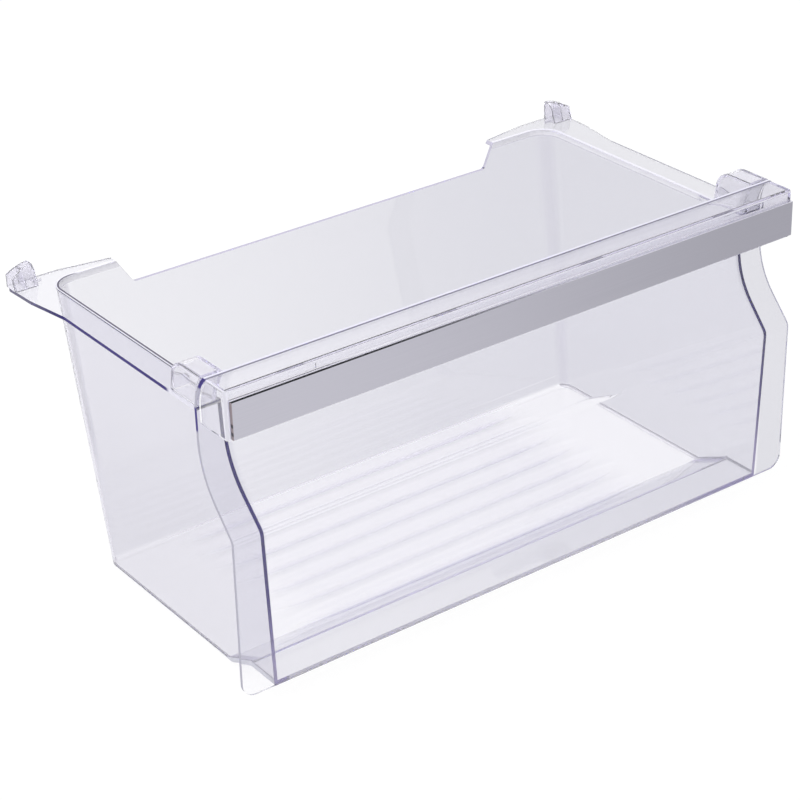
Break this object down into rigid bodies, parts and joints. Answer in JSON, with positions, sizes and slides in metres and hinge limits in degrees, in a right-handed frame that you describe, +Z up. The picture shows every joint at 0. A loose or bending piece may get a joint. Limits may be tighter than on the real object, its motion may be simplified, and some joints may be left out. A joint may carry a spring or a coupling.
{
  "type": "freezer drawer",
  "caption": "Clear plastic freezer drawer with a ribbed floor, a curved front that forms a hand recess, a hollow grip with a brushed metal-look strip, and a rim that hangs on side runners",
  "frame": {"origin": "middle of the bounding box's bottom, on the floor's underside", "axes": "+X across the drawer to the right as seen from the front, +Y from the front to the rear, +Z up"},
  "size_m": [0.478, 0.26, 0.23],
  "materials": {
    "clear_plastic": "clear crystal plastic with a faint lavender tint, polished, edges show violet",
    "brushed_trim": "satin silver with fine lengthwise brushing"
  },
  "bodies": {
    "root": {"drawer_tub": "clear_plastic", "front_panel": "clear_plastic", "handle_cap": "clear_plastic", "trim_strip": "brushed_trim", "left_corner_block": "clear_plastic", "right_corner_block": "clear_plastic", "left_rear_stop": "clear_plastic", "right_rear_stop": "clear_plastic"}
  },
  "joints": []
}
